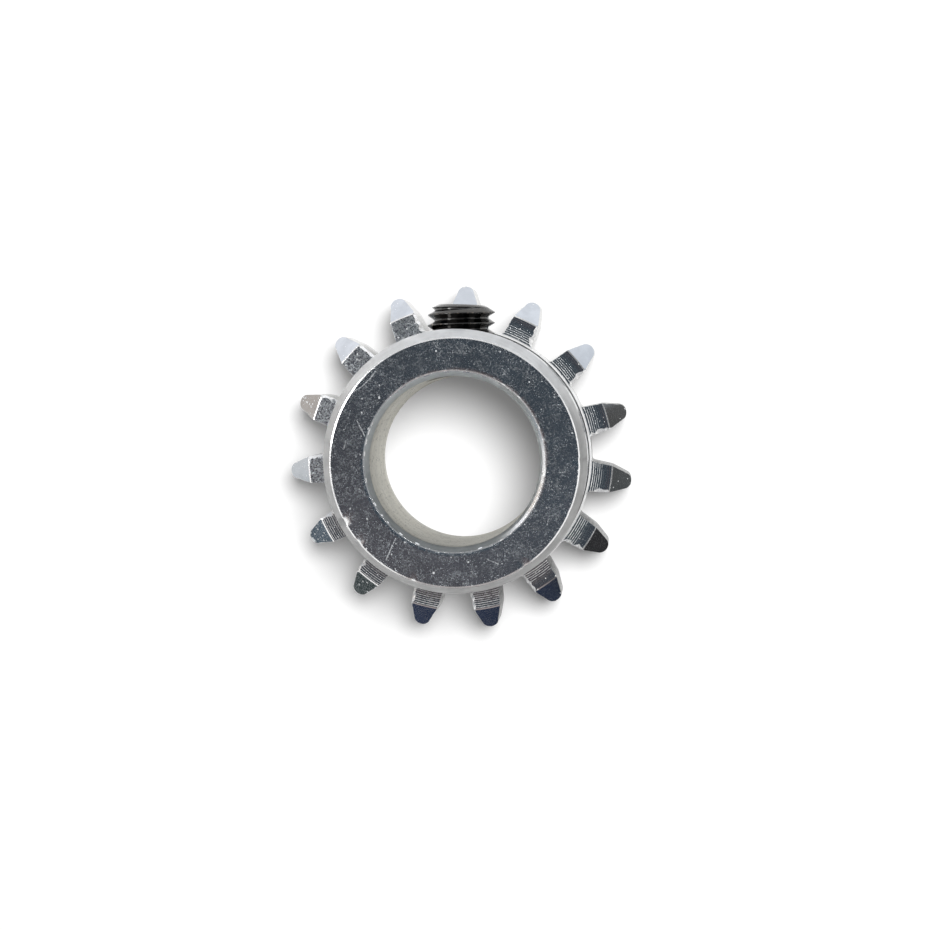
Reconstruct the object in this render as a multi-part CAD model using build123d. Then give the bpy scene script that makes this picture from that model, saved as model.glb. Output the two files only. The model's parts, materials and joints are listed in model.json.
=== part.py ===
"""Gear wheel with a long hub, a plain round bore and one set screw.

The wheel lies on its toothed end. Its axis is Z, the origin is the centre of
the bore on the toothed end face, and +Y runs out through the set screw and the
tooth that stands behind it. All sizes are in millimetres.
"""
from build123d import *
import os
from math import asin, cos, sin

# Wheel: bore, hub and toothed rim.
bore_d = 20.0
bore_chamfer = 0.6
hub_d = 31.1
hub_length = 11.0
hub_chamfer_width = 0.93
hub_chamfer_length = 1.1
rim_width = 10.0
tip_d = 41.8

# Teeth: a nearly parallel lower flank up to the shoulder, then a taper to a rounded tip.
# The front edge of the rim is bevelled from the shoulder out.
tooth_count = 15
tooth_height = 5.0
taper_height = 2.45
tooth_root_width = 3.7
tooth_shoulder_width = 3.27
tooth_tip_width = 1.45
root_round = 0.35
shoulder_round = 1.2
tip_round = 0.7
bevel_drop = 2.1

# Set screw: coarse thread, hexagon socket, cup point.
thread_d = 8.0
thread_clearance = 0.03
screw_length = 8.0
screw_setback = 0.45
screw_end_d = 5.6
screw_end_drop = 0.7
socket_across_flats = 4.0
socket_depth = 3.5
cup_d = 4.4
cup_depth = 1.1

# How far a tooth's foot is sunk in the rim, and how far a cutter runs past the metal.
tooth_sink = 1.0
overrun = 1.0

# Places that follow from the sizes above.
bore_r = bore_d / 2
hub_r = hub_d / 2
tip_r = tip_d / 2
root_r = tip_r - tooth_height
shoulder_r = tip_r - taper_height
total_length = rim_width + hub_length
thread_r = thread_d / 2
tapped_hole_r = thread_r + thread_clearance
screw_height = rim_width + hub_length / 2
screw_point_r = bore_r + screw_setback


def turn(*section):
    """A solid turned about the Z axis from corners given as radius and height."""
    return revolve(Plane.XZ * make_face(Polyline(*section, close=True)), Axis.Z)


def radial(distance):
    """The plane across the set screw's axis, at a distance from the bore axis."""
    return Plane((0, distance, screw_height), x_dir=(1, 0, 0), z_dir=(0, 1, 0))


def flank_point(radius, width):
    """A point on the right flank of a tooth that points along +Y."""
    half_angle = asin(width / 2 / radius)
    return (radius * sin(half_angle), radius * cos(half_angle))


def tooth_outline():
    """One tooth, pointing along +Y, with its foot sunk into the rim."""
    root_x, root_y = flank_point(root_r, tooth_root_width)
    shoulder_x, shoulder_y = flank_point(shoulder_r, tooth_shoulder_width)
    foot_x = root_x + (root_x - shoulder_x) / (shoulder_y - root_y) * tooth_sink
    right_side = [
        (foot_x, root_y - tooth_sink),
        (shoulder_x, shoulder_y),
        (tooth_tip_width / 2, tip_r),
    ]
    left_side = [(-x, y) for x, y in reversed(right_side)]
    outline = make_face(Polyline(*right_side, *left_side, close=True))
    outline = fillet(outline.vertices().sort_by(Axis.Y)[-2:], tip_round)
    shoulders = [v for v in outline.vertices() if abs(v.Y - shoulder_y) < 1e-3]
    return fillet(shoulders, shoulder_round)


def rim_outline():
    """The toothed outline of the rim, with its root corners rounded."""
    outline = Circle(root_r) + PolarLocations(0, tooth_count) * tooth_outline()
    roots = [v for v in outline.vertices() if abs(Vector(v.X, v.Y).length - root_r) < 1e-3]
    return fillet(roots, root_round)


def toothed_rim():
    """The rim: its outline cut through, and its front edge bevelled on the teeth."""
    past_tip = tip_r + overrun
    past_drop = bevel_drop * (taper_height + overrun) / taper_height
    bevelled_blank = turn(
        (0, 0),
        (past_tip, 0),
        (past_tip, rim_width - past_drop),
        (shoulder_r, rim_width),
        (0, rim_width),
    )
    return extrude(rim_outline(), rim_width) & bevelled_blank


def hub():
    """The plain hub on the front of the rim, with a chamfered end."""
    return turn(
        (0, rim_width),
        (hub_r, rim_width),
        (hub_r, total_length - hub_chamfer_length),
        (hub_r - hub_chamfer_width, total_length),
        (0, total_length),
    )


def bore():
    """The bore, with a chamfer at both mouths, as the metal that is taken out."""
    mouth_r = bore_r + bore_chamfer + overrun
    return turn(
        (0, -overrun),
        (mouth_r, -overrun),
        (bore_r, bore_chamfer),
        (bore_r, total_length - bore_chamfer),
        (mouth_r, total_length + overrun),
        (0, total_length + overrun),
    )


def make_gear_wheel():
    """The wheel is one piece of metal, with a tapped hole through one side of its hub."""
    tapped_hole = radial(0) * extrude(Circle(tapped_hole_r), hub_r + overrun)
    return toothed_rim() + hub() - bore() - tapped_hole


def make_set_screw():
    """Set screw, drawn at its outer thread diameter, with its socket outwards."""
    end_r = screw_end_d / 2
    screw = turn(
        (0, 0),
        (end_r, 0),
        (thread_r, screw_end_drop),
        (thread_r, screw_length - screw_end_drop),
        (end_r, screw_length),
        (0, screw_length),
    )
    socket = RegularPolygon(socket_across_flats / 2, 6, major_radius=False)
    screw -= Pos(0, 0, screw_length - socket_depth) * extrude(socket, socket_depth + overrun)
    screw -= Pos(0, 0, cup_depth / 2) * Cone(cup_d / 2, 0, cup_depth)
    return radial(screw_point_r) * screw


os.makedirs("parts", exist_ok=True)
nodes = {
    "gear_wheel": make_gear_wheel(),
    "set_screw": make_set_screw(),
}
for name, solid in nodes.items():
    export_step(solid, f"parts/{name}.step")
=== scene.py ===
"""Gear wheel with its set screw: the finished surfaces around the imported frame, in metres."""
import json
from math import asin, atan2, cos, degrees, hypot, pi, radians, sin, tan

import bmesh
import bpy
from mathutils import Matrix, Vector, noise


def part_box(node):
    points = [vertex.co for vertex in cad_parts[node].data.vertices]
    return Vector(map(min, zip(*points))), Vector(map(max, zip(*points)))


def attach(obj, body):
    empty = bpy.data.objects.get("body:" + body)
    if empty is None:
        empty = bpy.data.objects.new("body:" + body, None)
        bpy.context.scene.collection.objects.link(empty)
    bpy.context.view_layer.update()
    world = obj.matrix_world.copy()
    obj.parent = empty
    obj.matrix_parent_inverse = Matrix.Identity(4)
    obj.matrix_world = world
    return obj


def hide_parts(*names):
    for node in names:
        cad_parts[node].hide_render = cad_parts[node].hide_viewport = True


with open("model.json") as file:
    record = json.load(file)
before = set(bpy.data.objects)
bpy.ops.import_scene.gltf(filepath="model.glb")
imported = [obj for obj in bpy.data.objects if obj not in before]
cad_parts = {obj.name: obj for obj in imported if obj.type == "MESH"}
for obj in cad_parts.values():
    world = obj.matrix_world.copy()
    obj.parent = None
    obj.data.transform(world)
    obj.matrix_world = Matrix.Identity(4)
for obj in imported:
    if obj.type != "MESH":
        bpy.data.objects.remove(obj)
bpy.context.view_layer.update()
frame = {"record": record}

MM = 0.001

# Tolerances for merging points, comparing places and telling sharp edges.
merge_distance = 0.002 * MM
thread_merge_distance = 0.001 * MM
hair = 0.01 * MM
sharp_bend = radians(25)

# Wheel, as far as the frame gives it.
wheel_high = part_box("gear_wheel")[1]
total_length = wheel_high.z
tip_r = wheel_high.y
bore_mount = next(m for m in frame["record"]["mounts"] if m["name"] == "bore")
bore_r = bore_mount["dims"]["r_mm"] * MM

# Wheel: hub and rim.
bore_chamfer = 0.6 * MM
hub_r = 15.55 * MM
hub_chamfer_width = 0.93 * MM
hub_chamfer_length = 1.1 * MM
rim_width = 10.0 * MM
root_r = tip_r - 5.0 * MM
shoulder_r = tip_r - 2.45 * MM
bevel_drop = 2.1 * MM

# Wheel: one tooth, which points along +Y.
tooth_count = 15
pitch_angle = 2 * pi / tooth_count
tooth_root_width = 3.7 * MM
tooth_shoulder_width = 3.27 * MM
tooth_tip_width = 1.45 * MM
root_round = 0.35 * MM
shoulder_round = 1.2 * MM
tip_round = 0.95 * MM

# The rim's front is laid out in rows and columns. Every other row is a turned groove, deepest
# by the hub.
ledge_rows = 3
flat_rows = 20
taper_rows = 8
tooth_columns = 12
valley_columns = 3
groove_depth_at_hub = 0.030 * MM
groove_depth_at_shoulder = 0.010 * MM

# The grooves' spacing, from crest to crest. A crest stands on the root circle.
groove_pitch = 2 * (shoulder_r - root_r) / flat_rows

# The front ran out a little, so the grooves keep less depth on the teeth round this angle from
# +X in degrees, as far as the reach to both sides, and fade in beyond it.
faint_grooves_at = 150.0
faint_grooves_reach = 35.0
faint_grooves_fade = 20.0
faint_grooves_keep = 0.25

# Round the rim, in degrees from +X: these bevels are speckled and painted darker as painted shade,
# and these ridges lack the bright edge that paints a highlight on the others.
speckled_bevels = (148.0, 246.0)
plain_ridges = (245.0, 320.0)

# Broken edges: a facet round the hub's face and on each tooth's ridge, the rest rounded.
face_edge_break = 0.10 * MM
mouth_edge_break = 0.16 * MM
valley_edge_round = 0.12 * MM
ridge_break = 0.09 * MM
tooth_edge_round = 0.035 * MM
hub_edge_round = 0.05 * MM

# Wear: the cutter broke one side of each tooth's front, in two facets that meet at a fold, and
# the front's points are crowded inwards as far as broken_side_crowds. Fold and drops are shares
# of the broken side's width. The teeth's outline is ragged and the hub's edges are nicked.
broken_side_at_root = 0.46 * MM
broken_side_at_shoulder = 0.26 * MM
broken_side_lumps = 0.45 * MM
broken_side_fold = 0.55
broken_side_fold_drop = 0.3
broken_side_drop = 0.75
broken_side_crowds = 1.4 * MM
broken_side_ends = shoulder_r + 0.3 * MM
ragged = 0.09 * MM
ragged_lumps = 0.35 * MM
hub_nicks = 0.02 * MM
hub_nick_lumps = 0.45 * MM

# The face's outer edge lies this much low of the axis, so the chamfer is wider at the top.
face_edge_shift = 0.13 * MM

# Dents on the edge of the hub's face: angle from +X in degrees, size and depth.
dents = [
    (210.4, 0.60 * MM, 0.16 * MM),
    (221.9, 0.55 * MM, 0.13 * MM),
    (2.4, 0.40 * MM, 0.10 * MM),
    (306.0, 0.50 * MM, 0.12 * MM),
    (252.0, 0.35 * MM, 0.08 * MM),
    (338.0, 0.35 * MM, 0.07 * MM),
]

# Set screw, as far as its box in the frame gives it.
screw_low, screw_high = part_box("set_screw")
thread_r = screw_high.x
screw_height = (screw_low.z + screw_high.z) / 2
screw_point = screw_low.y
screw_length = screw_high.y - screw_low.y
tapped_hole_r = thread_r + 0.03 * MM
countersink = 0.4 * MM

# Set screw: coarse right-hand thread, rounded at its root and blunt at its crest.
thread_pitch = 1.25 * MM
thread_root_r = 3.24 * MM
crest_half_width = 0.08 * MM
root_half_width = 0.12 * MM
thread_corner = 0.035 * MM
turns_cut_off = 1.7
screw_end_r = 2.8 * MM
screw_end_drop = 0.7 * MM
socket_across_flats = 4.0 * MM
socket_depth = 3.5 * MM
socket_drill_depth = 0.5 * MM
socket_mouth = 0.2 * MM
cup_r = 2.2 * MM
cup_depth = 1.1 * MM
overrun = 0.5 * MM


def only(piece):
    """Nothing but this piece is selected, and it is the active one."""
    bpy.ops.object.select_all(action="DESELECT")
    piece.select_set(True)
    bpy.context.view_layer.objects.active = piece


def edit(piece, mode="VERT"):
    """Opens this piece alone in edit mode, with nothing selected in it."""
    only(piece)
    bpy.ops.object.mode_set(mode="EDIT")
    bpy.ops.mesh.select_mode(type=mode)
    select_none()


def leave_edit():
    bpy.ops.object.mode_set(mode="OBJECT")


def select_all():
    bpy.ops.mesh.select_all(action="SELECT")


def select_none():
    bpy.ops.mesh.select_all(action="DESELECT")


def merge_all(distance):
    select_all()
    bpy.ops.mesh.remove_doubles(threshold=distance)


def turn_normals_out():
    select_all()
    bpy.ops.mesh.normals_make_consistent(inside=False)


def pick(piece, kind, test):
    """Selects the faces or edges that pass a test, and nothing else, in edit mode."""
    bpy.ops.mesh.select_mode(type={"faces": "FACE", "edges": "EDGE"}[kind])
    select_none()
    mesh = bmesh.from_edit_mesh(piece.data)
    for part in getattr(mesh, kind):
        if test(part):
            part.select_set(True)
    bmesh.update_edit_mesh(piece.data)


def add(kind, name, **settings):
    """A new plain piece, such as a cylinder or a grid."""
    bpy.ops.object.select_all(action="DESELECT")
    getattr(bpy.ops.mesh, f"primitive_{kind}_add")(**settings)
    bpy.context.object.name = name
    return bpy.context.object


def apply_modifier(piece, kind, **settings):
    only(piece)
    modifier = piece.modifiers.new(kind.lower(), kind)
    for key, value in settings.items():
        setattr(modifier, key, value)
    bpy.ops.object.modifier_apply(modifier=modifier.name)


def apply_place(piece):
    """Makes the piece's place and turn part of its mesh."""
    only(piece)
    bpy.ops.object.transform_apply(location=True, rotation=True, scale=True)


def smooth(piece, angle):
    """Shades the piece smoothly, except where it bends by more than this, in degrees."""
    only(piece)
    bpy.ops.object.shade_smooth_by_angle(angle=radians(angle))


def radius_of(point):
    return hypot(point.x, point.y)


# Toothed rim

def rounded(before, corner, after, radius, steps):
    """The points of the arc that rounds a corner, from its side before to its side after."""
    back, on = (before - corner).normalized(), (after - corner).normalized()
    half = back.angle(on) / 2
    centre = corner + (back + on).normalized() * (radius / sin(half))
    start = corner + back * (radius / tan(half)) - centre
    turn = start.angle_signed(corner + on * (radius / tan(half)) - centre)
    return [centre + Matrix.Rotation(-turn * k / steps, 2) @ start for k in range(steps + 1)]


def flank_point(radius, width):
    """A point on the right flank of a tooth that points along +Y."""
    half_angle = asin(width / 2 / radius)
    return Vector((radius * sin(half_angle), radius * cos(half_angle)))


root_corner = flank_point(root_r, tooth_root_width)
shoulder_corner = flank_point(shoulder_r, tooth_shoulder_width)
tip_corner = Vector((tooth_tip_width / 2, tip_r))
along_root = root_corner + Vector((root_corner.y, -root_corner.x))
root_arc = rounded(along_root, root_corner, shoulder_corner, root_round, 8)
shoulder_arc = rounded(root_corner, shoulder_corner, tip_corner, shoulder_round, 4)
tip_arc = rounded(shoulder_corner, tip_corner, Vector((0, tip_r)), tip_round, 12)
flank = root_arc + shoulder_arc + tip_arc[:1]


def half_angle_at(radius):
    """Half the angle that the tooth fills at a radius, read off its flank."""
    previous = flank[0]
    for point in flank[1:]:
        if point.length >= radius:
            share = (radius - previous.length) / (point.length - previous.length)
            place = previous.lerp(point, max(0, share))
            return atan2(place.x, place.y)
        previous = point
    return atan2(previous.x, previous.y)


def tip_outline(share):
    """A point of the rounded tip, from its left end at -1 to its right end at 1."""
    path = tip_arc + [Vector((0, tip_r))]
    lengths = [0]
    for a, b in zip(path, path[1:]):
        lengths.append(lengths[-1] + (b - a).length)
    wanted = (1 - abs(share)) * lengths[-1]
    k = next(k for k in range(len(path) - 1) if lengths[k + 1] >= wanted - 1e-12)
    part = (wanted - lengths[k]) / (lengths[k + 1] - lengths[k])
    point = path[k].lerp(path[k + 1], part)
    return Vector((point.x if share > 0 else -point.x, point.y))


def front_height(radius, row=None):
    """Height of the rim's front: grooves on the flat, then the bevel. Even rows are grooves."""
    if radius > shoulder_r:
        return rim_width - bevel_drop * (radius - shoulder_r) / (tip_r - shoulder_r)
    if row is None or row % 2 == 1:
        return rim_width
    share = (radius - hub_r) / (shoulder_r - hub_r)
    less = (groove_depth_at_hub - groove_depth_at_shoulder) * share
    return rim_width - groove_depth_at_hub + less


def on_ring(radius, angle, row):
    return Vector((radius * sin(angle), radius * cos(angle), front_height(radius, row)))


def ledge_place(column, row):
    """The narrow ledge at the hub's foot, over one whole pitch."""
    foot = half_angle_at(root_r)
    radius = hub_r + (root_r - hub_r) * row / ledge_rows
    if column <= valley_columns:
        angle = -pitch_angle / 2 + (pitch_angle / 2 - foot) * column / valley_columns
    elif column >= valley_columns + tooth_columns:
        past = column - valley_columns - tooth_columns
        angle = foot + (pitch_angle / 2 - foot) * past / valley_columns
    else:
        angle = foot * (2 * (column - valley_columns) / tooth_columns - 1)
    return on_ring(radius, angle, row)


def tooth_place(column, row):
    """The tooth's front, from the root circle out to its rounded tip."""
    share = 2 * column / tooth_columns - 1
    if row <= flat_rows:
        radius = root_r + (shoulder_r - root_r) * row / flat_rows
        return on_ring(radius, half_angle_at(radius) * share, ledge_rows + row)
    out = (row - flat_rows) / taper_rows
    last_r = tip_arc[0].length
    radius = shoulder_r + (last_r - shoulder_r) * out
    end = half_angle_at(radius)
    angle = end * share
    on_arc = Vector((radius * sin(angle), radius * cos(angle)))
    tip = tip_outline(share)
    scale_x = radius * sin(end) / tip_arc[0].x
    on_tip = Vector((tip.x * scale_x, radius * cos(end) + (tip.y - tip_arc[0].y)))
    point = on_arc.lerp(on_tip, out ** 1.5)
    return Vector((point.x, point.y, front_height(point.length)))


def lay_grid(name, across, along, place):
    """A grid of faces whose points are laid out by column and row."""
    grid = add("grid", name, x_subdivisions=across, y_subdivisions=along, size=2)
    for vertex in grid.data.vertices:
        column = round((vertex.co.x + 1) / 2 * across)
        row = round((vertex.co.y + 1) / 2 * along)
        vertex.co = place(column, row)
    return grid


def turn_round(piece, corners):
    """Extrudes the selected loop along corners given as radius and height."""
    mesh = bmesh.from_edit_mesh(piece.data)
    start = next(v.co for v in mesh.verts if v.select)
    radius, height = radius_of(start), start.z
    for next_radius, next_height in corners:
        bpy.ops.mesh.extrude_edges_move(
            TRANSFORM_OT_translate={"value": (0, 0, next_height - height)})
        ratio = next_radius / radius
        bpy.ops.transform.resize(value=(ratio, ratio, 1), center_override=(0, 0, 0))
        radius, height = next_radius, next_height


def steps_between(start, end, count):
    """Corners that divide the way from one corner to the next evenly."""
    return [tuple(a + (b - a) * k / count for a, b in zip(start, end)) for k in range(1, count + 1)]


def make_wheel():
    """The wheel: the rim's front is laid out, its body pulled down, and the hub turned on it."""
    wheel = lay_grid("gear_wheel_body", tooth_columns, flat_rows + taper_rows, tooth_place)
    ledge = lay_grid("ledge", tooth_columns + 2 * valley_columns, ledge_rows, ledge_place)
    only(wheel)
    ledge.select_set(True)
    bpy.ops.object.join()
    edit(wheel)
    select_all()
    bpy.ops.mesh.spin(
        steps=tooth_count - 1, dupli=True, angle=pitch_angle * (tooth_count - 1),
        center=(0, 0, 0), axis=(0, 0, 1))
    merge_all(merge_distance)

    select_all()
    bpy.ops.mesh.extrude_region_move(TRANSFORM_OT_translate={"value": (0, 0, -rim_width)})
    bpy.ops.transform.resize(value=(1, 1, 0), center_override=(0, 0, 0))
    pick(wheel, "faces", lambda f: abs(f.normal.z) < 0.3
         and radius_of(f.calc_center_median()) < hub_r + hair)
    bpy.ops.mesh.delete(type="ONLY_FACE")

    pick(wheel, "edges", lambda e: len(e.link_faces) == 1
         and all(abs(v.co.z - rim_width) < 0.1 * MM for v in e.verts))
    hub_corner = (hub_r, total_length - hub_chamfer_length)
    face_edge = (hub_r - hub_chamfer_width, total_length)
    mouth_edge = (bore_r + bore_chamfer, total_length)
    bore_top = (bore_r, total_length - bore_chamfer)
    bore_bottom = (bore_r, bore_chamfer)
    back_edge = (bore_r + bore_chamfer, 0)
    turn_round(wheel, [
        *steps_between((hub_r, rim_width), hub_corner, 6),
        face_edge,
        *steps_between(face_edge, mouth_edge, 8),
        bore_top,
        *steps_between(bore_top, bore_bottom, 8),
        back_edge,
        *steps_between(back_edge, (hub_r, 0), 4),
    ])
    merge_all(merge_distance)
    bpy.ops.mesh.delete_loose()
    turn_normals_out()

    for test, width, facets in (
            (is_face_edge, face_edge_break, 1),
            (is_mouth_edge, mouth_edge_break, 2),
            (is_hub_edge, hub_edge_round, 2),
            (is_ridge, ridge_break, 1),
            (is_valley_edge, valley_edge_round, 2),
            (is_tooth_edge, tooth_edge_round, 2)):
        pick(wheel, "edges", test)
        bpy.ops.mesh.bevel(offset=width, segments=facets, affect="EDGES", clamp_overlap=False)
    leave_edit()
    return wheel


def cut(piece, tool, operation="DIFFERENCE"):
    """Cuts a piece with another, or keeps what the two share, and takes the other away."""
    apply_modifier(piece, "BOOLEAN", object=tool, operation=operation, solver="EXACT")
    bpy.data.objects.remove(tool)


def drop_slivers(piece):
    """Takes out the faces without any area that a cut can leave."""
    edit(piece)
    select_all()
    bpy.ops.mesh.dissolve_degenerate(threshold=0.0002 * MM)
    leave_edit()


def drill_hub(wheel):
    """The hole for the set screw, through one wall of the hub, with a small countersink."""
    outwards = (-pi / 2, 0, 0)
    start = bore_r - 2 * MM
    length = hub_r + overrun - start
    cut(wheel, add(
        "cylinder", "drill", vertices=96, radius=tapped_hole_r, depth=length,
        location=(0, start + length / 2, screw_height), rotation=outwards))
    reach = countersink + overrun
    cut(wheel, add(
        "cone", "countersink", vertices=96, radius1=tapped_hole_r,
        radius2=tapped_hole_r + reach, depth=reach,
        location=(0, hub_r - countersink + reach / 2, screw_height),
        rotation=outwards))
    drop_slivers(wheel)


# Set screw

def draw_line(name, points):
    """A chain of edges through points in the XZ plane, given as radius and height."""
    line = add("plane", name, size=MM)
    edit(line)
    select_all()
    bpy.ops.mesh.merge(type="CENTER")
    place = Vector((0, 0, 0))
    for k, (radius, height) in enumerate(points):
        step = Vector((radius, 0, height)) - place
        if k == 0:
            bpy.ops.transform.translate(value=step)
        else:
            bpy.ops.mesh.extrude_vertices_move(TRANSFORM_OT_translate={"value": step})
        place += step
    leave_edit()
    return line


def thread_section():
    """One pitch of the thread, from root to root."""
    half = thread_pitch / 2
    rise = [
        (thread_root_r, 0),
        (thread_root_r + thread_corner / 2, root_half_width - thread_corner),
        (thread_root_r + 2 * thread_corner, root_half_width + thread_corner / 2),
        (thread_r - 2 * thread_corner, half - crest_half_width - thread_corner / 2),
        (thread_r - thread_corner / 3, half - crest_half_width + thread_corner),
        (thread_r, half),
    ]
    fall = [(radius, thread_pitch - height) for radius, height in reversed(rise[:-1])]
    return rise + fall


def wind_thread():
    """The thread, wound round Z and cut off flat at the screw's two ends."""
    screw = draw_line("set_screw_threaded", thread_section())
    turns = round(screw_length / thread_pitch) + 3
    apply_modifier(screw, "SCREW", axis="Z", angle=2 * pi, screw_offset=thread_pitch,
                   iterations=turns, steps=72, render_steps=72, use_merge_vertices=True,
                   merge_threshold=thread_merge_distance)
    edit(screw)
    merge_all(thread_merge_distance)
    bpy.ops.transform.translate(value=(0, 0, -turns_cut_off * thread_pitch))
    for height, outwards in ((0, -1), (screw_length, 1)):
        select_all()
        bpy.ops.mesh.bisect(plane_co=(0, 0, height), plane_no=(0, 0, outwards), use_fill=True,
                            clear_outer=True, threshold=0.0001 * MM)
    turn_normals_out()
    leave_edit()
    return screw


def turned_blank(name, corners):
    """A closed body turned from corners given as radius and height."""
    start_r, start_height = corners[0]
    blank = add("circle", name, vertices=96, radius=start_r, location=(0, 0, start_height))
    apply_place(blank)
    edit(blank, "EDGE")
    select_all()
    bpy.ops.mesh.edge_face_add()
    turn_round(blank, corners[1:])
    bpy.ops.mesh.edge_face_add()
    turn_normals_out()
    leave_edit()
    return blank


def make_screw():
    """The set screw: a wound thread with chamfered ends, a hexagon socket and a cup point."""
    screw = wind_thread()
    chamfer_slope = (thread_r - screw_end_r) / screw_end_drop
    end_r = screw_end_r - overrun * chamfer_slope
    blank_r = thread_r + overrun
    blank_drop = (blank_r - screw_end_r) / chamfer_slope
    body = turned_blank("blank", [
        (end_r, -overrun),
        (blank_r, blank_drop),
        (blank_r, screw_length - blank_drop),
        (end_r, screw_length + overrun),
    ])
    cut(screw, body, "INTERSECT")
    corner_r = socket_across_flats / 2 / cos(pi / 6)
    depth = socket_depth + overrun
    cut(screw, add(
        "cylinder", "socket", vertices=6, radius=corner_r, depth=depth,
        location=(0, 0, screw_length - socket_depth + depth / 2), rotation=(0, 0, pi / 6)))
    drill_r = 0.98 * socket_across_flats / 2
    cut(screw, add(
        "cone", "socket_drill", vertices=48, radius1=0, radius2=drill_r,
        depth=socket_drill_depth * 2, location=(0, 0, screw_length - socket_depth)))
    mouth_r = corner_r + socket_mouth
    cut(screw, add(
        "cone", "socket_mouth", vertices=48, radius1=mouth_r - overrun,
        radius2=mouth_r + overrun, depth=2 * overrun, location=(0, 0, screw_length)))
    past_end = 1.5
    cut(screw, add(
        "cone", "cup", vertices=64, radius1=cup_r * past_end, radius2=0,
        depth=cup_depth * past_end, location=(0, 0, cup_depth * (1 - past_end / 2))))
    drop_slivers(screw)
    screw.rotation_euler = (-pi / 2, 0, 0)
    screw.location = (0, screw_point, screw_height)
    apply_place(screw)
    return screw


# Which edges are broken

def bend_at(edge):
    return edge.calc_face_angle(0)


def middle_of(edge):
    return (edge.verts[0].co + edge.verts[1].co) / 2


def bounds_face(edge):
    return bend_at(edge) > sharp_bend and middle_of(edge).z > total_length - hair


def is_face_edge(edge):
    """The outer edge of the hub's front face."""
    return bounds_face(edge) and radius_of(middle_of(edge)) > (bore_r + hub_r) / 2


def is_mouth_edge(edge):
    """The inner edge of the hub's front face, at the bore's mouth."""
    return bounds_face(edge) and radius_of(middle_of(edge)) < (bore_r + hub_r) / 2


def is_hub_edge(edge):
    """The other turned edges, of the hub's chamfer and of the bore's two mouths."""
    middle = middle_of(edge)
    return (bend_at(edge) > radians(30) and radius_of(middle) < hub_r + hair
            and middle.z < total_length - 0.3 * MM and abs(middle.z - rim_width) > 0.1 * MM)


def is_ridge(edge):
    """The line across each tooth where its flat front turns into the bevel."""
    middle = middle_of(edge)
    along = (edge.verts[0].co - edge.verts[1].co).normalized()
    outwards = Vector((middle.x, middle.y, 0)).normalized()
    level = min(face.normal.z for face in edge.link_faces)
    return (bend_at(edge) > sharp_bend and level > 0.5 and abs(along.dot(outwards)) < 0.4
            and abs(radius_of(middle) - shoulder_r) < 0.2 * MM)


def is_tooth_edge(edge):
    """The edges round the front and back of the teeth and of the valleys between them."""
    level = min(abs(face.normal.z) for face in edge.link_faces)
    return (bend_at(edge) > sharp_bend and level < 0.5
            and radius_of(middle_of(edge)) > hub_r + 0.05 * MM)


def is_valley_edge(edge):
    """The front edge of the rim at the bottom of the valleys."""
    middle = middle_of(edge)
    level = min(abs(face.normal.z) for face in edge.link_faces)
    return (bend_at(edge) > sharp_bend and level < 0.5 and middle.z > rim_width / 2
            and hub_r + 0.05 * MM < radius_of(middle) < root_r + 0.03 * MM)


# Wear of the wheel

def from_tooth_middle(point):
    """The angle from the middle of the nearest tooth, clockwise as the front is seen."""
    angle = atan2(point.x, point.y)
    return (angle + pitch_angle / 2) % pitch_angle - pitch_angle / 2


def groove_keep(point):
    """How much of the grooves' depth is left at a place round the rim."""
    angle = degrees(atan2(point.y, point.x))
    away = abs((angle - faint_grooves_at + 180) % 360 - 180)
    share = max(0, min(1, (away - faint_grooves_reach) / faint_grooves_fade))
    return faint_grooves_keep + (1 - faint_grooves_keep) * share


def unevenness(point, size, seed=0.0):
    """Soft noise from -1 to 1 with bumps of about this size."""
    return noise.noise(point / size + Vector((seed, 2.7 * seed, 0.3)))


def broken_width(place, radius, off_middle):
    """How wide a tooth's broken side is at a radius. Each tooth broke in its own way."""
    tooth = round((atan2(place.x, place.y) - off_middle) / pitch_angle)
    reach = max(0, min(1, (radius - root_r) / (shoulder_r - root_r)))
    width = broken_side_at_root + (broken_side_at_shoulder - broken_side_at_root) * reach
    along = Vector((radius, 3 * MM * tooth, 0))
    width *= max(0.1, 1 + unevenness(along, broken_side_lumps, 4.0))
    width *= max(0, min(1, (broken_side_ends - radius) / (0.4 * MM)))
    return max(tooth_edge_round, width * min(1, (radius - root_r) / root_round))


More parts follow.
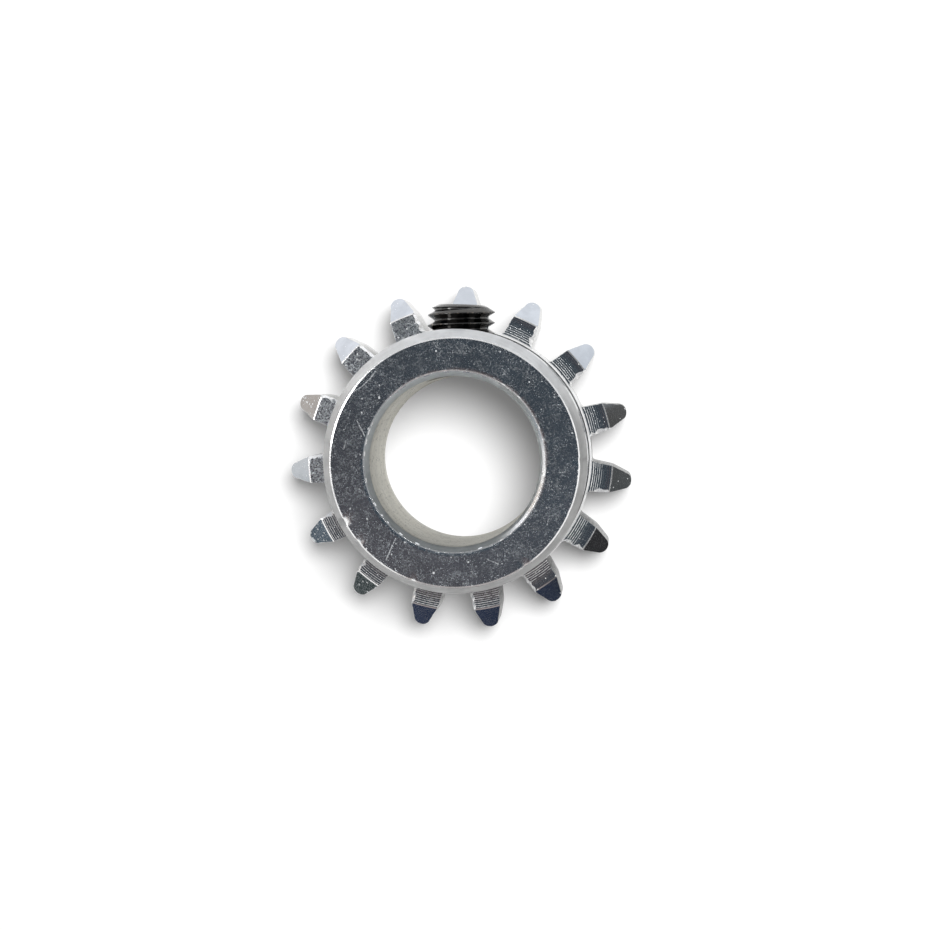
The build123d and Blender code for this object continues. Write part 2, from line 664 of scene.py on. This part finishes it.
def wear_teeth(wheel):
    """Widens the broken side of each tooth's front edge, and leaves all of it ragged."""
    flank_end = tip_arc[0].length
    # The rounded edge's points lie in by nothing, by part of its width, or by all of it.
    outer_row = 0.1 * tooth_edge_round
    inner_row = 0.8 * tooth_edge_round
    zone = 1.1 * tooth_edge_round
    for vertex in wheel.data.vertices:
        place = vertex.co
        radius = radius_of(place)
        depth = front_height(radius) - place.z
        off_middle = from_tooth_middle(place)
        inset = (half_angle_at(radius) - abs(off_middle)) * radius
        if hub_r < radius < shoulder_r and inset > zone and depth < 1.1 * groove_depth_at_hub:
            vertex.co.z = rim_width - depth * groove_keep(place)
        if radius < root_arc[0].length or depth > zone + groove_depth_at_hub:
            continue
        nick = max(0, unevenness(place, ragged_lumps) + 0.15) * ragged
        if radius > flank_end:
            if depth > 0.2 * tooth_edge_round:
                shrink = 1 - nick / radius
                vertex.co = Vector((place.x * shrink, place.y * shrink, place.z - nick / 2))
            continue
        on_broken_side = off_middle > 0
        width = broken_width(place, radius, off_middle) if on_broken_side else 0
        if inset > zone:
            if depth < groove_depth_at_hub + zone and inset < broken_side_crowds:
                shift = width * (1 - inset / broken_side_crowds) / radius
                vertex.co = Matrix.Rotation(shift, 3, "Z") @ place
            continue
        new_inset = inset + nick
        drop = 0.5 * nick if inset < outer_row else 0
        if on_broken_side:
            if inset > inner_row:
                new_inset = width
            elif inset > outer_row:
                new_inset = broken_side_fold * width
                drop += broken_side_fold_drop * width - depth
            else:
                drop += broken_side_drop * width - tooth_edge_round
        turn = (1 if on_broken_side else -1) * (inset - new_inset) / radius
        turned = Matrix.Rotation(-turn, 3, "Z") @ place
        vertex.co = Vector((turned.x, turned.y, place.z - drop))


def wear_hub(wheel):
    """Small nicks and the dents on the edges of the hub's front face."""
    edge_r = hub_r - hub_chamfer_width
    mouth_r = bore_r + bore_chamfer
    near = 2 * face_edge_break
    for vertex in wheel.data.vertices:
        place = vertex.co
        radius = radius_of(place)
        if place.z < total_length - 1.3 * hub_chamfer_length or radius > hub_r + 0.1 * MM:
            continue
        if abs(radius - edge_r) < near:
            vertex.co.y -= face_edge_shift
        if abs(radius - edge_r) < near or radius < mouth_r + near:
            nick = max(0, unevenness(place, hub_nick_lumps, 9.0)) * hub_nicks
            if place.z < total_length - 0.005 * MM:
                vertex.co.z -= nick
        for angle, size, depth in dents:
            angle = radians(angle)
            centre = Vector((edge_r * cos(angle), edge_r * sin(angle), total_length))
            share = 1 - ((place - centre).length / size) ** 2
            if share > 0:
                inwards = Vector((-centre.x, -centre.y, -edge_r)).normalized()
                vertex.co += inwards * depth * share


# Camera, as the photograph was taken: almost along the axis, from a little up and to the right.
camera_place = Vector((19.0, 10.6, 315.0)) * MM
camera_target = Vector((1.27, -0.35, 21.0)) * MM
camera_up = Vector((-0.0297, 0.9996, 0))
camera_lens = 97.7


def aim(camera, target, up):
    """Turns a camera or lamp to look at a point, with the given direction upwards."""
    forward = (target - camera.location).normalized()
    right = forward.cross(up).normalized()
    above = right.cross(forward)
    camera.rotation_euler = Matrix((right, above, -forward)).transposed().to_euler()


def make_camera():
    bpy.ops.object.camera_add(location=camera_place)
    camera = bpy.context.object
    camera.data.lens = camera_lens
    camera.data.clip_start = 0.01
    aim(camera, camera_target, camera_up)
    bpy.context.scene.camera = camera


# Building blocks of every material

def feed(made, sockets):
    """Gives a node's sockets a value, or links them to another node's socket."""
    for key, value in sockets.items():
        if isinstance(value, bpy.types.NodeSocket):
            made.id_data.links.new(value, made.inputs[key])
        else:
            made.inputs[key].default_value = value


def node(tree, kind, sockets, **settings):
    made = tree.nodes.new("ShaderNode" + kind)
    for key, value in settings.items():
        setattr(made, key, value)
    feed(made, sockets)
    return made


def number(tree, operation, first, second=0.0):
    return node(tree, "Math", {0: first, 1: second}, operation=operation).outputs[0]


def times(tree, first, second):
    return number(tree, "MULTIPLY", first, second)


def larger(tree, first, second):
    return number(tree, "MAXIMUM", first, second)


def vector(tree, operation, first, second=(0, 0, 0)):
    """A vector, or a number where the operation is a length, a distance or a dot product."""
    made = node(tree, "VectorMath", {0: first, 1: second}, operation=operation)
    gives_number = operation in ("LENGTH", "DISTANCE", "DOT_PRODUCT")
    return made.outputs["Value" if gives_number else "Vector"]


def scaled(tree, first, share):
    return node(tree, "VectorMath", {0: first, "Scale": share}, operation="SCALE").outputs[0]


def along_axis(tree, place, axis):
    return node(tree, "SeparateXYZ", {0: place}).outputs[axis]


def off_axis(tree, place, across=(1, 1, 0)):
    """The distance from the axis that across leaves out."""
    return vector(tree, "LENGTH", vector(tree, "MULTIPLY", place, across))


def between(tree, value, low, high, start=0.0, end=1.0):
    """Where the value goes from low to high, this goes softly from start to end."""
    return node(tree, "MapRange", {
        "Value": value, "From Min": low, "From Max": high, "To Min": start, "To Max": end,
    }, interpolation_type="SMOOTHSTEP").outputs["Result"]


def mix_colours(tree, share, first, second):
    first, second = (
        colour if isinstance(colour, bpy.types.NodeSocket) else (*colour, 1)
        for colour in (first, second))
    return node(tree, "Mix", {0: share, 6: first, 7: second}, data_type="RGBA").outputs[2]


def colour_band(tree, share, stops):
    """A colour ramp with stops given as place and colour."""
    band = node(tree, "ValToRGB", {"Fac": share})
    elements = band.color_ramp.elements
    for _ in stops[2:]:
        elements.new(0.5)
    for element, (place, colour) in zip(elements, stops):
        element.position = place
        element.color = (*colour, 1)
    return band.outputs["Color"]


def bump(tree, relief, depth):
    return node(tree, "Bump", {"Height": relief, "Distance": depth}).outputs["Normal"]


def new_material(name):
    material = bpy.data.materials.new(name)
    material.use_nodes = True
    tree = material.node_tree
    return material, tree, tree.nodes["Principled BSDF"]


# Floor, lamp and surroundings

floor_size = 0.6
floor_colour = (0.85, 0.85, 0.85)
floor_colour_thrown_back = (0.25, 0.25, 0.25)
floor_glow = 0.17
lamp_azimuth = radians(50)
lamp_tilt = radians(15)
lamp_distance = 1.0
lamp_size = 0.39
lamp_power = 11.0
fill_light = 0.07


def make_floor():
    floor = add("plane", "floor", size=floor_size)
    material, tree, shader = new_material("white_table")
    path = node(tree, "LightPath", {}).outputs
    thrown_back = number(tree, "MINIMUM", path["Diffuse Depth"], 1.0)
    seen = larger(tree, path["Is Camera Ray"], path["Is Glossy Ray"])
    seen = number(tree, "SUBTRACT", seen, thrown_back)
    feed(shader, {
        "Base Color": mix_colours(tree, thrown_back, floor_colour, floor_colour_thrown_back),
        "Roughness": 1.0,
        "Specular IOR Level": 0.0,
        "Emission Color": (1, 1, 1, 1),
        "Emission Strength": times(tree, larger(tree, seen, 0.0), floor_glow),
    })
    floor.data.materials.append(material)


def make_lamp():
    direction = Vector((
        sin(lamp_tilt) * cos(lamp_azimuth),
        sin(lamp_tilt) * sin(lamp_azimuth),
        cos(lamp_tilt)))
    bpy.ops.object.light_add(type="AREA", location=direction * lamp_distance)
    lamp = bpy.context.object
    lamp.data.shape = "DISK"
    lamp.data.size = lamp_size
    lamp.data.energy = lamp_power
    lamp.visible_glossy = False
    aim(lamp, Vector((0, 0, 0)), Vector((0, 1, 0)))


# What the bright metal mirrors. Angles go round from +X, and the horizon band is low down.
white = (1.0, 1.0, 1.0)
horizon_cards = [
    (-180, (0.84, 0.84, 0.85)), (-170, (0.80, 0.81, 0.83)), (-161, (0.13, 0.17, 0.21)),
    (-148, (0.11, 0.145, 0.18)), (-138, (0.06, 0.078, 0.078)), (-120, (0.055, 0.07, 0.07)),
    (-112, (0.03, 0.042, 0.082)), (-58, (0.03, 0.04, 0.068)), (-44, (0.034, 0.034, 0.036)),
    (-26, (0.034, 0.034, 0.036)), (-14, (0.09, 0.097, 0.098)), (20, (0.10, 0.10, 0.098)),
    (30, (0.70, 0.75, 0.82)), (54, (0.90, 0.95, 1.02)), (120, (0.93, 0.97, 1.04)),
    (148, (0.95, 0.98, 1.04)), (154, (0.66, 0.58, 0.52)), (168, (0.66, 0.59, 0.54)),
    (174, (0.90, 0.89, 0.89)),
]
high_cards = [
    (-180, white), (-122, white), (-112, (0.30, 0.27, 0.265)), (-58, (0.30, 0.27, 0.265)),
    (-48, white), (20, white), (34, (0.62, 0.63, 0.64)), (142, (0.62, 0.63, 0.64)),
    (149, white), (180, white),
]
top_cards = [
    (-180, white), (-122, white), (-108, (0.42, 0.37, 0.36)), (-62, (0.42, 0.37, 0.36)),
    (-54, (0.06, 0.065, 0.07)), (66, (0.06, 0.065, 0.07)), (76, white), (180, white),
]
ceiling_cool = (0.055, 0.073, 0.091)
ceiling_warm = (0.12, 0.098, 0.102)
ceiling_turns_warm = (0.084, 0.116)

# Heights, from 0 at the horizon to 1 overhead, over which one band gives way to the next.
horizon_to_high = (0.40, 0.50)
high_to_top = (0.715, 0.745)
top_to_ceiling = (0.82, 0.92)

# A bright strip in the high band, with its edges as window takes them.
strip_light = 11.0
strip_angles = (radians(146), radians(152), radians(174), radians(179))
strip_heights = (0.50, 0.54, 0.64, 0.68)


def window(tree, value, edges):
    """Fades in over the first two edges and out over the last two."""
    start, full, falling, end = edges
    return times(tree, between(tree, value, start, full), between(tree, value, end, falling))


def make_world():
    """Black and white cards for the metal to mirror, white behind all, and a weak plain fill.

    The floor gets only the fill, also by way of the metal, so its shadows stay deep.
    """
    world = bpy.data.worlds.new("studio")
    bpy.context.scene.world = world
    world.use_nodes = True
    world.cycles.sampling_method = "NONE"
    tree = world.node_tree
    tree.nodes.clear()
    towards = node(tree, "TexCoord", {}).outputs["Generated"]
    split = node(tree, "SeparateXYZ", {0: towards}).outputs
    azimuth = number(tree, "ARCTAN2", split["Y"], split["X"])
    share = node(tree, "MapRange", {"Value": azimuth, "From Min": -pi, "From Max": pi})
    horizon, high, top = (
        colour_band(tree, share.outputs["Result"], [((a + 180) / 360, c) for a, c in cards])
        for cards in (horizon_cards, high_cards, top_cards))
    height = split["Z"]
    towards_warm = vector(tree, "DOT_PRODUCT", towards, (-0.6, -0.8, 0))
    warm = between(tree, towards_warm, *ceiling_turns_warm)
    ceiling = mix_colours(tree, warm, ceiling_cool, ceiling_warm)
    above = mix_colours(tree, between(tree, height, *top_to_ceiling), top, ceiling)
    upper = mix_colours(tree, between(tree, height, *high_to_top), high, above)
    cards = mix_colours(tree, between(tree, height, *horizon_to_high), horizon, upper)
    strip = times(tree, window(tree, azimuth, strip_angles), window(tree, height, strip_heights))
    cards = mix_colours(tree, strip, cards, (strip_light, strip_light, strip_light))

    path = node(tree, "LightPath", {}).outputs
    mirrored = node(tree, "Background", {"Color": cards}).outputs[0]
    fill = node(tree, "Background", {"Color": (1, 1, 1, 1), "Strength": fill_light}).outputs[0]
    plain = node(tree, "Background", {"Color": (1, 1, 1, 1)}).outputs[0]
    by_floor = larger(tree, path["Is Diffuse Ray"], path["Diffuse Depth"])
    lit = node(tree, "MixShader", {0: by_floor, 1: mirrored, 2: fill}).outputs[0]
    seen = node(tree, "MixShader", {0: path["Is Camera Ray"], 1: lit, 2: plain}).outputs[0]
    node(tree, "OutputWorld", {0: seen})


# Patterns of the metal. Every pattern lies in the piece's own coordinates.

def grain(tree, place, size, detail=3.0, harshness=0.6):
    return node(tree, "TexNoise", {
        "Vector": place, "Scale": 1 / size, "Detail": detail, "Roughness": harshness,
    }).outputs["Fac"]


def dots(tree, place, spacing, largest):
    """Small round spots of many sizes, one to a cell, most of them tiny."""
    cells = node(tree, "TexVoronoi", {"Vector": place, "Scale": 1 / spacing})
    size = number(tree, "POWER", along_axis(tree, cells.outputs["Color"], "X"), 4.0)
    size = times(tree, size, largest / spacing)
    margin = number(tree, "SUBTRACT", size, cells.outputs["Distance"])
    return between(tree, margin, 0.0, 0.25 * largest / spacing)


def turned_lines(tree, place, pitch):
    """Fine lines round the axis, as a turning tool leaves them."""
    height = along_axis(tree, place, "Z")
    across = node(tree, "CombineXYZ", {"X": off_axis(tree, place), "Y": height}).outputs[0]
    return grain(tree, vector(tree, "ADD", across, scaled(tree, place, 0.02)), pitch, 2.0)


def milled_lines(tree, place, pitch):
    """Fine lines along the axis, as the tooth cutter leaves them."""
    return grain(tree, vector(tree, "MULTIPLY", place, (1, 1, 0.04)), pitch, 2.0)


def painted_light_by_side(tree, place, direction, low, high, start, end):
    """A share that goes from start to end across the wheel, between two places in millimetres, to
    paint light and shade by side.
    """
    reach = vector(tree, "DOT_PRODUCT", place, (*direction, 0))
    return between(tree, reach, low * MM, high * MM, start, end)


def crest_wear_and_highlights(tree, place):
    """Where the grooves' crests are rubbed bright and painted as highlights: all by the hub, fewer
    further out, and fewer and fainter towards the upper right as painted light.
    """
    radius = off_axis(tree, place)
    wander = times(tree, grain(tree, place, 1.2 * MM, 1.0), 0.05 * MM)
    past_root = number(tree, "SUBTRACT", number(tree, "ADD", radius, wander), root_r + 0.05 * MM)
    turns = number(tree, "DIVIDE", past_root, groove_pitch)
    wave = number(tree, "COSINE", times(tree, turns, 2 * pi))
    crest = between(tree, wave, 0.0, 0.75)
    ring = node(tree, "CombineXYZ", {"X": radius}).outputs[0]
    some = between(tree, grain(tree, ring, 0.22 * MM, 1.0), 0.40, 0.60, 0.55, 1.0)
    # Painted light: the crests reach less far out and fade towards the upper right.
    reach = painted_light_by_side(tree, place, (-0.7, -0.7), 3, 13, 0.08, 1.0)
    outwards = between(tree, radius, root_r + 0.5 * MM, shoulder_r - 0.4 * MM)
    kept = node(tree, "MapRange", {"Value": outwards, "To Min": 1.0, "To Max": reach})
    patchy = between(tree, grain(tree, place, 0.35 * MM, 3.0), 0.33, 0.52, 0.45, 1.0)
    side = painted_light_by_side(tree, place, (-0.7, -0.7), -16, -4, 0.8, 1.0)
    for share in (some, kept.outputs["Result"], side, patchy):
        crest = times(tree, crest, share)
    return crest


def on_face(point):
    """A point of the hub's face, given in millimetres."""
    return Vector((point[0] * MM, point[1] * MM, total_length))


def scratch(tree, place, start, end, width):
    """A thin mark between two points of the hub's face."""
    run = on_face(end) - on_face(start)
    away = vector(tree, "SUBTRACT", place, on_face(start))
    along = vector(tree, "DOT_PRODUCT", away, run / run.length_squared)
    held = node(tree, "Clamp", {"Value": along}).outputs[0]
    offset = vector(tree, "DISTANCE", away, scaled(tree, run, held))
    return between(tree, offset, width * MM, 0.4 * width * MM)


# Finishes of the metal

# White of the zinc's bloom and scratches, and of the small white spots, which are painted glints.
bloom_and_glint_white = (0.80, 0.82, 0.83)

# Scratches on the hub's face, from and to, and their width, in millimetres.
face_scratches = [
    ((-12.32, 7.66), (-11.05, 8.45), 0.07), ((-11.05, 8.45), (-10.1, 9.45), 0.09),
    ((-10.1, 9.45), (-9.52, 10.25), 0.10), ((-11.35, 10.3), (-9.6, 10.65), 0.12),
    ((-11.5, 4.35), (-10.55, 2.6), 0.07), ((-7.65, -11.7), (-6.6, -9.2), 0.07),
    ((4.2, -11.3), (5.5, -11.8), 0.06), ((11.25, -6.3), (11.05, -7.1), 0.06),
    ((-12.8, 1.9), (-13.0, 1.1), 0.06), ((12.2, -0.9), (12.9, -0.8), 0.05),
]

# Cloudy bloom on the hub's face, as centre and size in millimetres.
face_blooms = [
    ((0.4, 13.2), 1.5), ((2.7, 13.2), 1.1), ((-2.6, 13.5), 1.2), ((5.4, 10.6), 1.2),
    ((-1.2, 11.6), 1.0),
]


def start_metal(name, metallic=1.0):
    material, tree, shader = new_material(name)
    feed(shader, {"Metallic": metallic})
    return material, tree, shader, node(tree, "TexCoord", {}).outputs["Object"]


def finish_metal(tree, shader, place, colour, spotted, dull, spots, relief, relief_depth,
                 shade=1.0):
    """Joins the patterns of one finish to its shader. Shade is painted light and shade that makes
    it lighter or darker.
    """
    tint = grain(tree, place, 2.5 * MM)
    patchy = mix_colours(tree, between(tree, tint, 0.35, 0.65),
                         [0.93 * c for c in colour], [min(1, 1.06 * c) for c in colour])
    feed(shader, {
        "Base Color": mix_colours(tree, spots, scaled(tree, patchy, shade), spotted),
        "Roughness": dull,
        "Normal": bump(tree, relief, relief_depth),
    })


def plated_face():
    """Bright zinc over a turned face: dark mirror with dull flecks, white bloom and scratches."""
    material, tree, shader, place = start_metal("plated_hub_face")
    fine = grain(tree, place, 0.13 * MM, 2.0, 0.6)
    area = grain(tree, place, 1.6 * MM, 2.0)
    flecks = number(tree, "ADD", fine, times(tree, area, 0.3))
    dull = between(tree, flecks, 0.61, 0.88, 0.16, 0.52)
    # The small white dots are painted glints; the blooms and scratches added to them are the zinc's
    # own.
    marks = larger(tree, dots(tree, place, 0.50 * MM, 0.13 * MM),
                   dots(tree, place, 2.0 * MM, 0.27 * MM))
    for centre, size in face_blooms:
        near = between(tree, vector(tree, "DISTANCE", place, on_face(centre)), size * MM, 0.0)
        bloom = times(tree, near, between(tree, fine, 0.42, 0.70, 0.0, 0.55))
        marks = larger(tree, marks, bloom)
    broken_up = between(tree, grain(tree, place, 0.2 * MM), 0.35, 0.6, 0.15, 0.8)
    for start, end, width in face_scratches:
        marks = larger(tree, marks, times(tree, scratch(tree, place, start, end, width), broken_up))
    feed(shader, {"Metallic": between(tree, marks, 0, 1, 1.0, 0.25)})
    dull = larger(tree, dull, times(tree, marks, 0.6))
    # Painted light: the face is painted lighter towards the bottom.
    shade = painted_light_by_side(tree, place, (0.2, -0.98), -9, 9, 0.95, 1.17)
    finish_metal(tree, shader, place, (0.63, 0.67, 0.70), bloom_and_glint_white, dull, marks,
                 fine, 0.004 * MM, shade)
    return material


def plated(name, colour, shiny, rough, size, lines=None, pitch=0.08, depth=0.004,
           spotted=bloom_and_glint_white, spots=0.0, spacing=0.5, metallic=1.0, side=None):
    """Zinc plate with a mottle of this size, the tool's lines under it and a few spots.

    Side paints light and shade across the wheel: it is the direction, the two places along it and
    the two shares to go between.
    """
    material, tree, shader, place = start_metal(name, metallic)
    mottle = grain(tree, place, size * MM, 4.0, 0.65)
    dull = between(tree, mottle, 0.42, 0.66, shiny, rough)
    marks = 0.0
    # Spots in the default white are painted glints; darker spots are pits.
    if spots:
        marks = dots(tree, place, spacing * MM, spots * MM)
        feed(shader, {"Metallic": between(tree, marks, 0, 1, metallic, 0.3 * metallic)})
        dull = larger(tree, dull, times(tree, marks, 0.5))
    relief = mottle
    if lines:
        drawn = lines(tree, place, pitch * MM)
        relief = number(tree, "ADD", drawn, times(tree, mottle, 0.4))
        dull = times(tree, dull, between(tree, drawn, 0.3, 0.7, 0.75, 1.25))
    # Painted light and shade across the wheel, where a side is given.
    shade = painted_light_by_side(tree, place, *side) if side else 1.0
    finish_metal(tree, shader, place, colour, spotted, dull, marks, relief, depth * MM, shade)
    return material


def bore_mouth():
    """The bore's mouth, painted lighter at the top as painted light, with a white painted highlight
    along the face at the right.
    """
    material = plated("bore_mouth", (0.48, 0.505, 0.51), 0.66, 0.78, 0.3, turned_lines, 0.09,
                      metallic=0.75, side=((0, 1), -9, 9, 0.60, 1.55))
    tree = material.node_tree
    shader = tree.nodes["Principled BSDF"]
    place = node(tree, "TexCoord", {}).outputs["Object"]
    uneven = times(tree, grain(tree, place, 0.5 * MM), 0.16 * MM)
    height = number(tree, "ADD", along_axis(tree, place, "Z"), uneven)
    # A white band painted along the face at the right, as a painted highlight.
    painted_highlight = between(tree, height, total_length - 0.26 * MM, total_length - 0.20 * MM)
    painted_highlight = times(tree, painted_highlight, painted_light_by_side(tree, place, (1, 0.1), 4, 8, 0.0, 1.0))
    colour, dull = (shader.inputs[key].links[0].from_socket for key in ("Base Color", "Roughness"))
    feed(shader, {
        "Base Color": mix_colours(tree, painted_highlight, colour, (0.96, 0.96, 0.96)),
        "Roughness": node(tree, "Mix", {0: painted_highlight, 2: dull, 3: 0.2}).outputs[0],
    })
    return material


def grooved_front():
    """The grooved flat front of the teeth: dark mirror between crests that are rubbed bright and
    painted as highlights.
    """
    material, tree, shader, place = start_metal("grooved_rim_front")
    mottle = grain(tree, place, 0.14 * MM, 3.0, 0.6)
    # The white specks are painted glints.
    specks = dots(tree, place, 0.40 * MM, 0.10 * MM)
    bright = larger(tree, crest_wear_and_highlights(tree, place), specks)
    feed(shader, {
        "Base Color": mix_colours(tree, bright, (0.62, 0.66, 0.69), (0.98, 0.97, 0.96)),
        "Roughness": larger(tree, between(tree, mottle, 0.52, 0.75, 0.14, 0.34),
                            times(tree, bright, 0.5)),
        "Metallic": between(tree, bright, 0, 1, 1.0, 0.15),
        "Normal": bump(tree, mottle, 0.002 * MM),
    })
    return material


def black_oxide():
    """Blackened steel with a film of oil, browner and brighter where the crests have rubbed."""
    material, tree, shader, place = start_metal("black_oxide")
    centred = vector(tree, "SUBTRACT", place, (0, 0, screw_height))
    radius = off_axis(tree, centred, (1, 0, 1))
    rub = grain(tree, place, 0.5 * MM, 4.0, 0.7)
    worn = times(tree, between(tree, radius, thread_r - 0.06 * MM, thread_r - 0.01 * MM),
                 between(tree, rub, 0.52, 0.68))
    mottle = grain(tree, place, 0.18 * MM, 4.0, 0.65)
    # Towards its outer end the screw is lighter, in speckles.
    top = between(tree, along_axis(tree, place, "Y"),
                  screw_high.y - 0.9 * MM, screw_high.y - 0.5 * MM)
    lighter_speckle_at_top = times(tree, top, between(tree, grain(tree, place, 0.12 * MM), 0.48, 0.62))
    shade = mix_colours(tree, lighter_speckle_at_top, (0.040, 0.038, 0.036), (0.12, 0.12, 0.118))
    feed(shader, {
        "Base Color": mix_colours(tree, worn, shade, (0.36, 0.30, 0.24)),
        "Specular Tint": (0.25, 0.24, 0.23, 1),
        "Roughness": between(tree, mottle, 0.40, 0.70, 0.06, 0.13),
        "Normal": bump(tree, mottle, 0.003 * MM),
        "Coat Weight": 1.0,
        "Coat Roughness": 0.02,
        "Coat IOR": 1.45,
    })
    return material


def wheel_finishes():
    """Every finish of the wheel, under the names that finish_at gives."""
    return {
        "hub_face": plated_face(),
        # The chamfer is painted lighter at the top and darker below, as painted shade.
        "hub_chamfer": plated(
            "plated_hub_chamfer", (0.64, 0.64, 0.635), 0.50, 0.58, 0.5, turned_lines, 0.10, 0.003,
            spots=0.10, spacing=0.9, spotted=(0.20, 0.20, 0.21), side=((0, 1), 4, 12, 0.74, 1.08)),
        # A dark band painted at the hub's foot, as painted shade.
        "hub_foot": plated("hub_foot", (0.08, 0.085, 0.09), 0.30, 0.50, 0.25, metallic=0.7),
        # Burnished edges, painted brighter as a highlight too.
        "edge": plated(
            "burnished_edge", (0.95, 0.95, 0.95), 0.12, 0.30, 0.22, depth=0.003, metallic=0.8),
        # The broken sides of the teeth are real chips, painted near white as a painted highlight.
        "chipped": plated(
            "chipped_edge", (1.0, 1.0, 1.0), 0.14, 0.40, 0.14, depth=0.006, metallic=0.35),
        # The ledge at the hub is painted near white, as a painted highlight.
        "ledge": plated(
            "ledge_at_hub", (0.93, 0.93, 0.93), 0.30, 0.50, 0.20, depth=0.010, metallic=0.3),
        "mouth": bore_mouth(),
        # The bore wall is painted lighter towards the left, as painted light.
        "bore": plated(
            "bore_wall", (0.46, 0.45, 0.40), 0.52, 0.64, 0.35, turned_lines, 0.20, 0.002,
            spotted=(0.10, 0.10, 0.09), spots=0.17, spacing=0.27,
            side=((-1, 0.3), -2, 9, 0.96, 1.28)),
        "rim_front": grooved_front(),
        # A speckled front, painted lighter towards the lower left as painted light.
        "worn_front_painted_light": plated(
            "speckled_rim_front", (0.70, 0.73, 0.75), 0.22, 0.54, 0.16, depth=0.008, spots=0.17,
            spacing=0.33, side=((-0.6, -0.8), -6, 8, 0.92, 1.18)),
        "bevel": plated(
            "tooth_bevel", (0.71, 0.72, 0.735), 0.09, 0.15, 0.2, depth=0.0002, spots=0.12,
            spacing=0.55),
        # Speckled, and painted darker than the other bevels as painted shade.
        "worn_bevel_painted_shade": plated(
            "speckled_tooth_bevel", (0.60, 0.625, 0.645), 0.06, 0.22, 0.12, depth=0.0012,
            spots=0.17, spacing=0.26),
        # The flanks are painted much lighter except on the lower right, as painted reflection of
        # the floor.
        "flank": plated(
            "milled_flank", (0.34, 0.34, 0.335), 0.30, 0.46, 0.25, milled_lines, 0.10, 0.004,
            side=((-0.86, 0.52), -14, -7, 0.6, 2.2)),
        "hub_wall": plated(
            "turned_hub_wall", (0.63, 0.64, 0.65), 0.16, 0.28, 0.5, turned_lines, 0.16, 0.002,
            spots=0.14, spacing=1.2),
        "back": plated(
            "turned_back_face", (0.66, 0.67, 0.68), 0.20, 0.38, 0.5, turned_lines, 0.18, 0.005,
            spots=0.16, spacing=1.1),
        "thread": plated("tapped_hole", (0.40, 0.40, 0.39), 0.35, 0.50, 0.3, depth=0.006),
    }


def finish_at(centre, normal):
    """The finish of a face of the wheel, from its place and the way it points."""
    radius = radius_of(centre)
    height = centre.z
    from_screw = hypot(centre.x, height - screw_height)
    if (centre.y > 0.5 * bore_r and from_screw < tapped_hole_r + countersink + 0.05 * MM
            and abs(normal.y) < 0.9 and radius < hub_r + hair):
        return "thread"
    if radius < bore_r + 0.02 * MM and abs(normal.z) < 0.3:
        return "bore"
    if radius < bore_r + bore_chamfer + 0.005 * MM and 0.3 < abs(normal.z) < 0.85:
        return "mouth"
    if height > total_length - 0.5 * hub_chamfer_length and normal.z > 0.8:
        return "hub_face" if normal.z > 0.985 else "edge"
    if height > total_length - 1.2 * hub_chamfer_length and normal.z > 0.2:
        return "hub_chamfer"
    if normal.z < -0.9:
        return "back"
    if radius < hub_r + 0.02 * MM and abs(normal.z) < 0.3:
        return "hub_wall"
    away = degrees(atan2(centre.y, centre.x)) % 360
    if abs(normal.z) < 0.25:
        return "flank"
    # Ridges get the bright edge finish as a painted highlight, all but the plain ones.
    if normal.z > 0.9 and abs(radius - shoulder_r) < 0.8 * ridge_break:
        return "bevel" if plain_ridges[0] < away < plain_ridges[1] else "edge"
    # The hub's foot is painted dark as painted shade, the ledge near white as a painted highlight.
    if normal.z > 0.88 and radius < root_r:
        return "hub_foot" if radius < hub_r + 0.12 * MM else "ledge"
    # Teeth with faint grooves get a front painted lighter towards the lower left.
    if normal.z > 0.88 and radius < shoulder_r:
        return "worn_front_painted_light" if groove_keep(centre) < 0.9 else "rim_front"
    # Bevels round the lower left are speckled and painted darker, as painted shade.
    if 0.72 < normal.z < 0.8 and radius > shoulder_r and height < rim_width - 0.02 * MM:
        return "worn_bevel_painted_shade" if speckled_bevels[0] < away < speckled_bevels[1] else "bevel"
    if radius < root_r + 0.1 * MM:
        return "edge"
    # Broken sides of the teeth are chipped, and painted near white as a highlight.
    broken = from_tooth_middle(centre) > 0 and radius < shoulder_r + 0.2 * MM
    return "chipped" if broken else "flank"


def finish_wheel(wheel):
    finishes = wheel_finishes()
    order = list(finishes)
    wheel.data.materials.clear()
    for material in finishes.values():
        wheel.data.materials.append(material)
    for face in wheel.data.polygons:
        face.material_index = order.index(finish_at(face.center, face.normal))


def keep_grooves_crisp(wheel):
    """Leaves the rings between the groove's two slopes sharp, however shallow they are."""
    edit(wheel)
    pick(wheel, "edges", lambda e: bend_at(e) > radians(2)
         and min(face.normal.z for face in e.link_faces) > 0.9
         and hub_r < radius_of(middle_of(e)) < shoulder_r)
    bpy.ops.mesh.mark_sharp()
    leave_edit()


make_camera()
make_floor()
make_lamp()
make_world()
bpy.context.scene.view_settings.view_transform = "Standard"

wheel = make_wheel()
wear_teeth(wheel)
wear_hub(wheel)
drill_hub(wheel)
smooth(wheel, 14)
keep_grooves_crisp(wheel)
finish_wheel(wheel)
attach(wheel, "root")
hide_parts("gear_wheel")

screw = make_screw()
smooth(screw, 35)
screw.data.materials.clear()
screw.data.materials.append(black_oxide())
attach(screw, "root")
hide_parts("set_screw")
